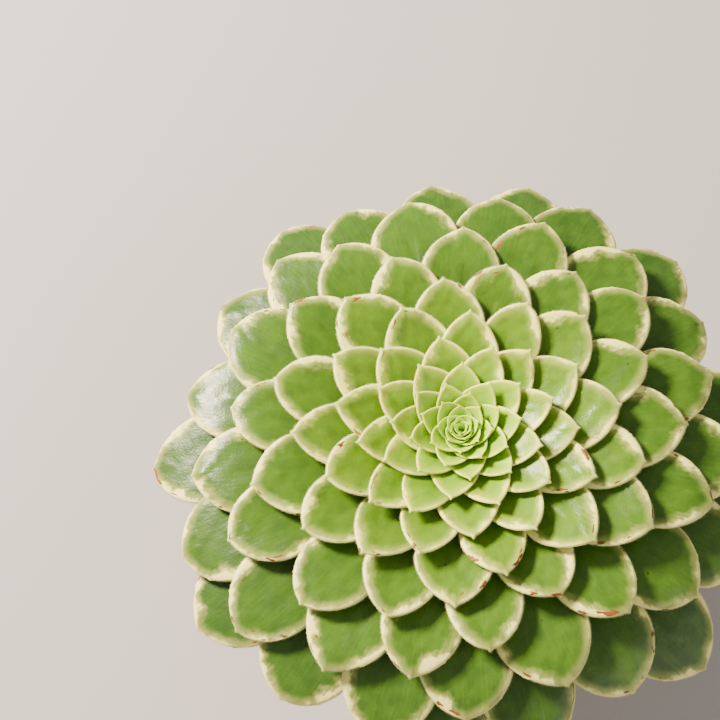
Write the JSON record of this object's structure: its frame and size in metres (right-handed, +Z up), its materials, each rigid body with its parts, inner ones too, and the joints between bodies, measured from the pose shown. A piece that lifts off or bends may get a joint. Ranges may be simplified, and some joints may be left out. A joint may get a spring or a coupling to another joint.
{
  "type": "potted aeonium",
  "caption": "Potted aeonium: one domed rosette of overlapping spoon-shaped green leaves with cream edges, on a short woody stem in a tapered clay pot with a rim band.",
  "frame": {"origin": "middle of the pot's foot, on the surface it stands on", "axes": "+Z up along the stem; -Y is the side that faces the viewer, +X to the viewer's right"},
  "size_m": [0.2345, 0.2297, 0.177],
  "materials": {
    "terracotta": "matte",
    "potting_soil": "matte",
    "woody_stem": "matte",
    "young_leaf": "satin",
    "leaf": "satin"
  },
  "bodies": {
    "root": {"pot": "terracotta", "soil": "potting_soil", "stem": "woody_stem", "rosette_heart": "young_leaf", "leaf_01": "leaf", "leaf_02": "leaf", "leaf_03": "leaf", "leaf_04": "leaf", "leaf_05": "leaf", "leaf_06": "leaf", "leaf_07": "leaf", "leaf_08": "leaf", "leaf_09": "leaf", "leaf_10": "leaf", "leaf_11": "leaf", "leaf_12": "leaf", "leaf_13": "leaf", "leaf_14": "leaf", "leaf_15": "leaf", "leaf_16": "leaf", "leaf_17": "leaf", "leaf_18": "leaf", "leaf_19": "leaf", "leaf_20": "leaf", "leaf_21": "leaf", "leaf_22": "leaf", "leaf_23": "leaf", "leaf_24": "leaf", "leaf_25": "leaf", "leaf_26": "leaf", "leaf_27": "leaf", "leaf_28": "leaf", "leaf_29": "leaf", "leaf_30": "leaf", "leaf_31": "leaf", "leaf_32": "leaf", "leaf_33": "leaf", "leaf_34": "leaf", "leaf_35": "leaf", "leaf_36": "leaf", "leaf_37": "leaf", "leaf_38": "leaf", "leaf_39": "leaf", "leaf_40": "leaf", "leaf_41": "leaf", "leaf_42": "leaf", "leaf_43": "leaf", "leaf_44": "leaf", "leaf_45": "leaf", "leaf_46": "leaf", "leaf_47": "leaf", "leaf_48": "leaf", "leaf_49": "leaf", "leaf_50": "leaf", "leaf_51": "leaf", "leaf_52": "leaf", "leaf_53": "leaf", "leaf_54": "leaf", "leaf_55": "leaf", "leaf_56": "leaf"}
  },
  "joints": []
}
